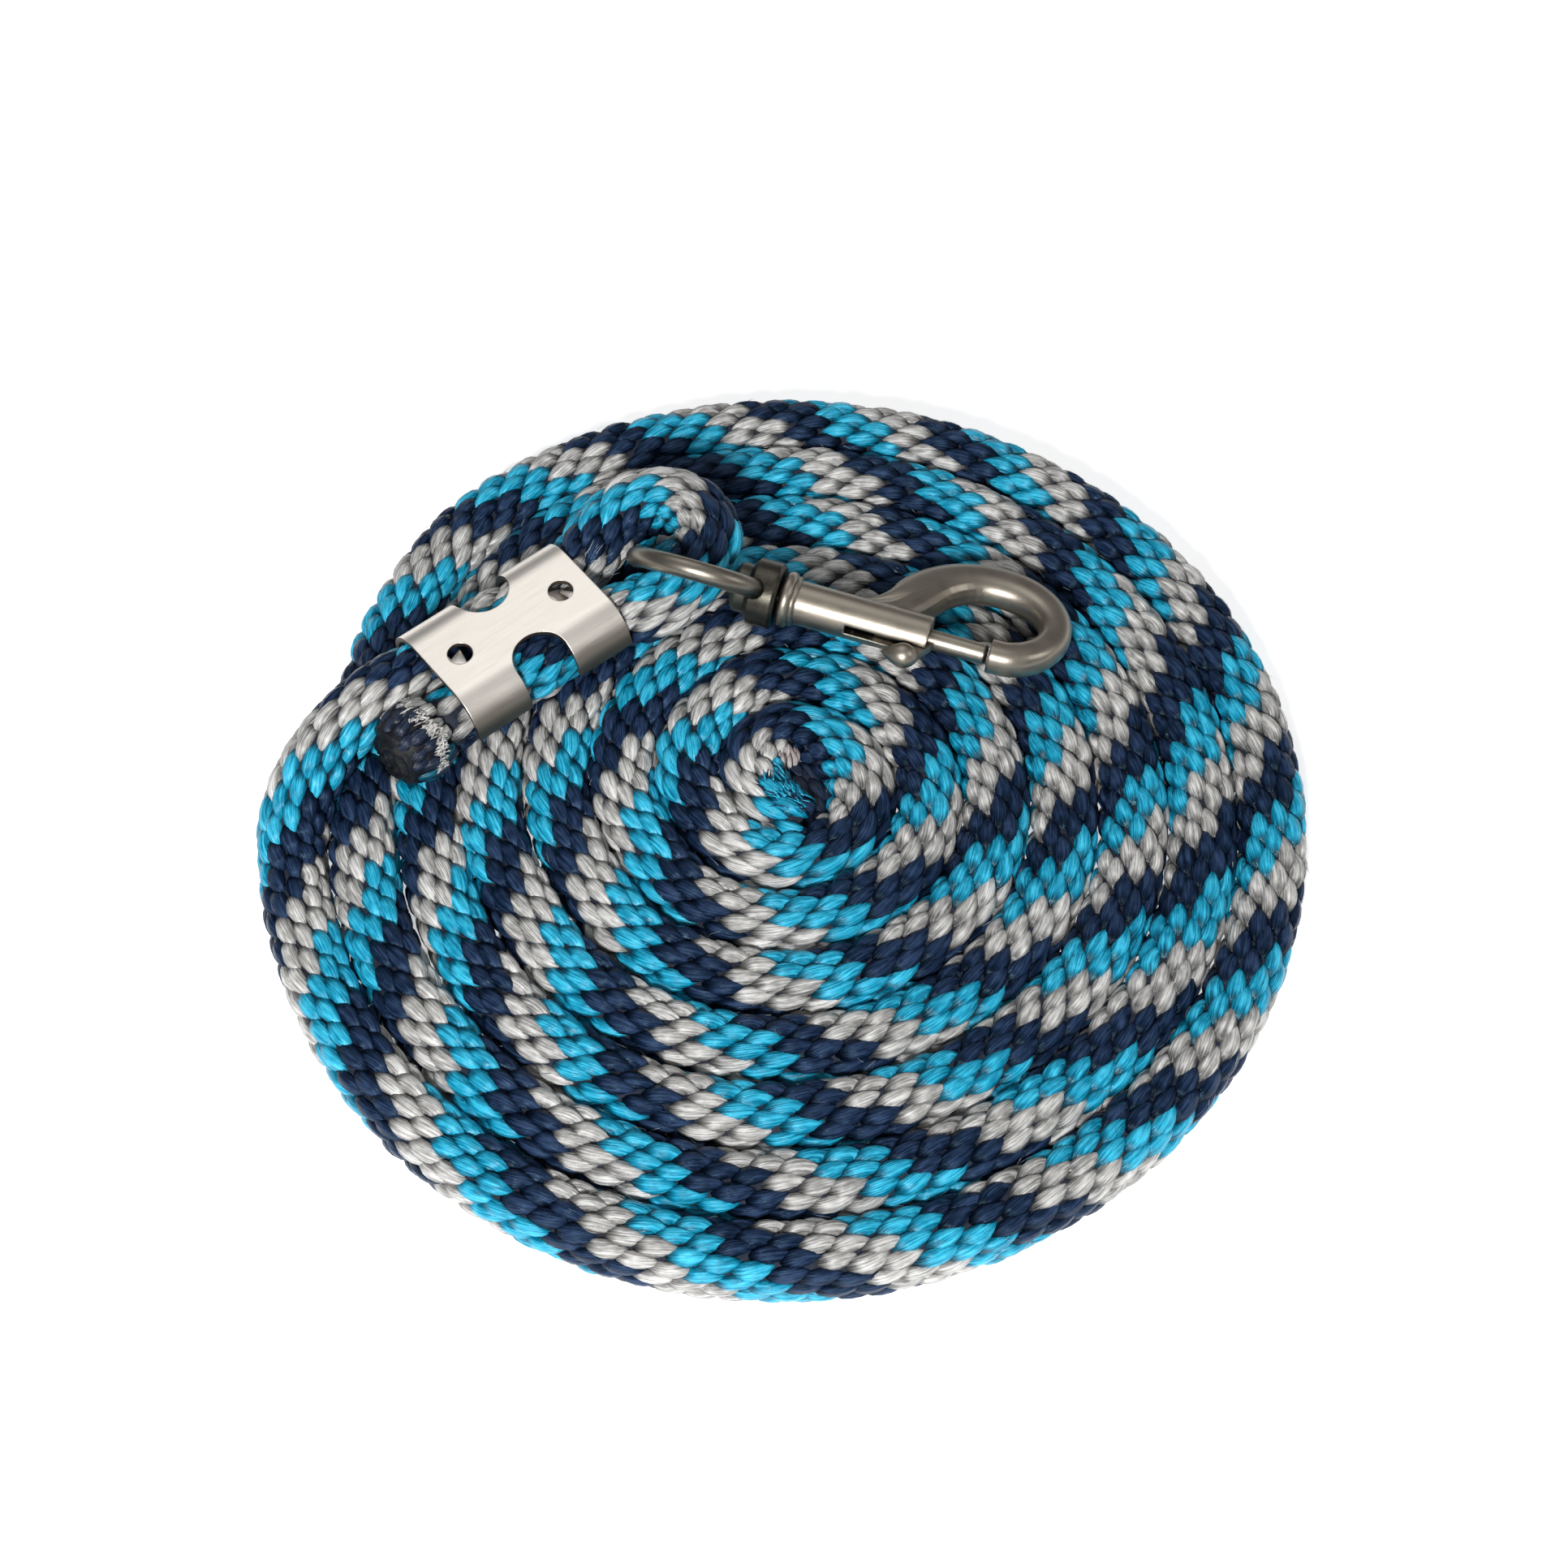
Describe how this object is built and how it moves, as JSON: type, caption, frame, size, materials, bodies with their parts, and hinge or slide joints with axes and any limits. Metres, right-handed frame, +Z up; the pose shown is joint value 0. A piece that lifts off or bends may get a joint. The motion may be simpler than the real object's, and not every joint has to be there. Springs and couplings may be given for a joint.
{
  "type": "lead rope",
  "caption": "Coiled braided lead rope with a clamped eye loop and a round swivel-eye bolt snap.",
  "frame": {"origin": "centre of the bottom of the coil's bounding box, on the surface it lies on", "axes": "+Z up out of the flat coil, +X to the right and +Y away from a viewer who has the clamp at the far left and the snap's hook pointing right"},
  "size_m": [0.23, 0.23, 0.046],
  "materials": {
    "rope": "satin braided polypropylene yarn in sky blue, warm light grey and navy",
    "heat_seal": "melted dark polypropylene",
    "clamp_metal": "satin nickel-plated sheet",
    "snap_metal": "antique nickel-plated casting",
    "spring_steel": "drawn wire"
  },
  "bodies": {
    "rope": {"rope_coil": "rope", "rope_run": "rope", "rope_tail_seal": "heat_seal", "rope_inner_seal": "heat_seal", "rope_clamp": "clamp_metal"},
    "eye": {"swivel_eye": "snap_metal"},
    "snap": {"snap_body": "snap_metal", "swivel_rivet": "snap_metal"},
    "bolt": {"snap_bolt": "snap_metal", "bolt_spring": "spring_steel"}
  },
  "joints": [
    {"name": "eye_swing", "type": "hinge", "parent": "rope", "child": "eye", "pos_m": [-0.01715, 0.04694, 0.03116], "axis": [-0.2898, -0.7878, -0.5435], "range_deg": [0, 90]},
    {"name": "swivel", "type": "hinge", "parent": "eye", "child": "snap", "pos_m": [0.0029, 0.0405, 0.0298], "axis": [0.9501, -0.3051, -0.0645], "range_deg": [0, 200]},
    {"name": "bolt_slide", "type": "slide", "parent": "snap", "child": "bolt", "axis": [-0.9501, 0.3051, 0.0645], "range_m": [0, 0.012], "stiffness_N_per_m": 500, "springref_m": -0.004, "deforming": ["bolt_spring"]}
  ]
}
